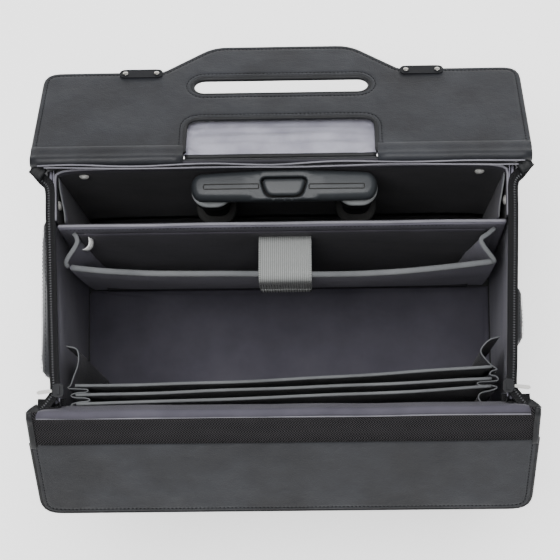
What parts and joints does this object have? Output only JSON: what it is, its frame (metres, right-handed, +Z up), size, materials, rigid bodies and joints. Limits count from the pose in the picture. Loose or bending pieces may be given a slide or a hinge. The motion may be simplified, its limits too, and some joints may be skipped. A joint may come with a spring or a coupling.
{
  "type": "pilot rolling flight case",
  "caption": "Upright soft-sided flight case on wheels with two folding top lids, file dividers, a laptop pocket and a telescoping trolley handle.",
  "frame": {"origin": "on the floor, under the middle of the box round the case with both lids open", "axes": "+X to the case's right seen from the front, +Y to the trolley side, +Z up"},
  "size_m": [0.48, 0.4668, 0.379],
  "materials": {
    "leatherette": "fine-grained dark charcoal faux leather",
    "lining": "grey-purple woven lining",
    "satin": "light grey satin",
    "webbing": "black herringbone webbing",
    "strap": "light grey ribbed hook-and-loop strap",
    "zipper": "black zip tape",
    "moulding": "dark grey moulded plastic",
    "button": "satin dark grey plastic",
    "rubber": "black rubber",
    "tyre": "black wheel tread",
    "aluminium": "anodised tube",
    "steel": "nickel plated",
    "black_metal": "black painted steel"
  },
  "bodies": {
    "case": {"base_board": "leatherette", "floor_pad": "lining", "front_panel": "leatherette", "rear_panel": "leatherette", "left_side_panel": "leatherette", "right_side_panel": "leatherette", "rim_zip_left": "zipper", "rim_zip_right": "zipper", "front_corner_web_left": "zipper", "front_corner_web_right": "zipper", "rear_divider": "lining", "laptop_pocket_panel": "lining", "laptop_gusset_left": "lining", "laptop_gusset_right": "lining", "laptop_strap": "strap", "file_divider_1": "lining", "file_divider_2": "lining", "file_divider_3": "lining", "file_gusset_left": "lining", "file_gusset_right": "lining", "trolley_bracket": "moulding", "trolley_outer_tube_left": "black_metal", "trolley_outer_tube_right": "black_metal", "wheel_housing_left": "moulding", "wheel_housing_right": "moulding", "wheel_axle_left": "steel", "wheel_axle_right": "steel", "front_foot_left": "rubber", "front_foot_right": "rubber", "rear_snap_left": "steel", "rear_snap_right": "steel", "side_snap_left": "steel", "side_snap_right": "steel", "side_pocket_left": "leatherette", "side_pocket_right": "leatherette"},
    "front_lid_assembly": {"front_band": "webbing", "front_lid": "leatherette", "lock_body_left": "steel", "lock_body_right": "steel"},
    "bolt_left": {"lock_bolt_left": "black_metal"},
    "bolt_right": {"lock_bolt_right": "black_metal"},
    "rear_flap_assembly": {"rear_flap": "leatherette", "lock_strike_left": "black_metal", "lock_strike_right": "black_metal"},
    "cover": {"trolley_cover": "satin"},
    "trolley_middle_stage": {"trolley_middle_tube_left": "aluminium", "trolley_middle_tube_right": "aluminium"},
    "trolley_upper_stage": {"trolley_inner_tube_left": "aluminium", "trolley_inner_tube_right": "aluminium", "trolley_grip": "moulding"},
    "grip_button": {"trolley_button": "button"},
    "wheel_left": {"wheel_tyre_left": "tyre", "wheel_hub_left": "moulding"},
    "wheel_right": {"wheel_tyre_right": "tyre", "wheel_hub_right": "moulding"},
    "slider_left": {"zip_slider_left": "steel"},
    "slider_right": {"zip_slider_right": "steel"},
    "pull_left": {"zip_pull_left": "steel"},
    "pull_right": {"zip_pull_right": "steel"},
    "strap_tab": {"laptop_strap_tab": "strap"}
  },
  "joints": [
    {"name": "front_lid_hinge", "type": "hinge", "parent": "case", "child": "front_lid_assembly", "pos_m": [0, -0.14872, 0.375], "axis": [1, 0, 0], "range_deg": [-230, 0]},
    {"name": "lock_bolt_left_slide", "type": "slide", "parent": "front_lid_assembly", "child": "bolt_left", "axis": [0, 0.6428, 0.766], "range_m": [0, 0.0055], "stiffness_N_per_m": 300},
    {"name": "lock_bolt_right_slide", "type": "slide", "parent": "front_lid_assembly", "child": "bolt_right", "axis": [0, 0.6428, 0.766], "range_m": [0, 0.0055], "stiffness_N_per_m": 300},
    {"name": "rear_flap_hinge", "type": "hinge", "parent": "case", "child": "rear_flap_assembly", "pos_m": [0, 0.09628, 0.383], "axis": [-1, 0, 0], "range_deg": [-215, 0]},
    {"name": "trolley_cover_hinge", "type": "hinge", "parent": "case", "child": "cover", "pos_m": [0, 0.10078, 0.3684], "axis": [-1, 0, 0], "range_deg": [0, 51]},
    {"name": "trolley_upper_slide", "type": "slide", "parent": "trolley_middle_stage", "child": "trolley_upper_stage", "axis": [0, 0, 1], "range_m": [0, 0.26]},
    {"name": "trolley_middle_slide", "type": "slide", "parent": "case", "child": "trolley_middle_stage", "axis": [0, 0, 1], "range_m": [0, 0.25]},
    {"name": "grip_button_press", "type": "slide", "parent": "trolley_upper_stage", "child": "grip_button", "axis": [0, 0, -1], "range_m": [0, 0.003], "stiffness_N_per_m": 400},
    {"name": "wheel_left_spin", "type": "hinge", "parent": "case", "child": "wheel_left", "pos_m": [-0.193, 0.07128, 0.027], "axis": [1, 0, 0], "continuous": true},
    {"name": "wheel_right_spin", "type": "hinge", "parent": "case", "child": "wheel_right", "pos_m": [0.193, 0.07128, 0.027], "axis": [1, 0, 0], "continuous": true},
    {"name": "zip_slider_left_slide", "type": "slide", "parent": "case", "child": "slider_left", "axis": [-0.0355, 0.9994, 0], "range_m": [0, 0.19]},
    {"name": "zip_slider_right_slide", "type": "slide", "parent": "case", "child": "slider_right", "axis": [0.0355, 0.9994, 0], "range_m": [0, 0.19]},
    {"name": "zip_pull_left_swing", "type": "hinge", "parent": "slider_left", "child": "pull_left", "pos_m": [-0.21729, -0.12343, 0.3691], "axis": [-0.0355, 0.9994, 0], "range_deg": [0, 140]},
    {"name": "zip_pull_right_swing", "type": "hinge", "parent": "slider_right", "child": "pull_right", "pos_m": [0.21729, -0.12343, 0.3691], "axis": [-0.0355, -0.9994, 0], "range_deg": [0, 140]},
    {"name": "strap_tab_lift", "type": "hinge", "parent": "case", "child": "strap_tab", "pos_m": [0, -0.01652, 0.341], "axis": [-1, 0, 0], "range_deg": [0, 160]}
  ],
  "couplings": [
    {"joint": "trolley_middle_slide", "follows": "trolley_upper_slide", "ratio": 0.96},
    {"joint": "trolley_cover_hinge", "follows": "rear_flap_hinge", "ratio": -0.2326}
  ]
}
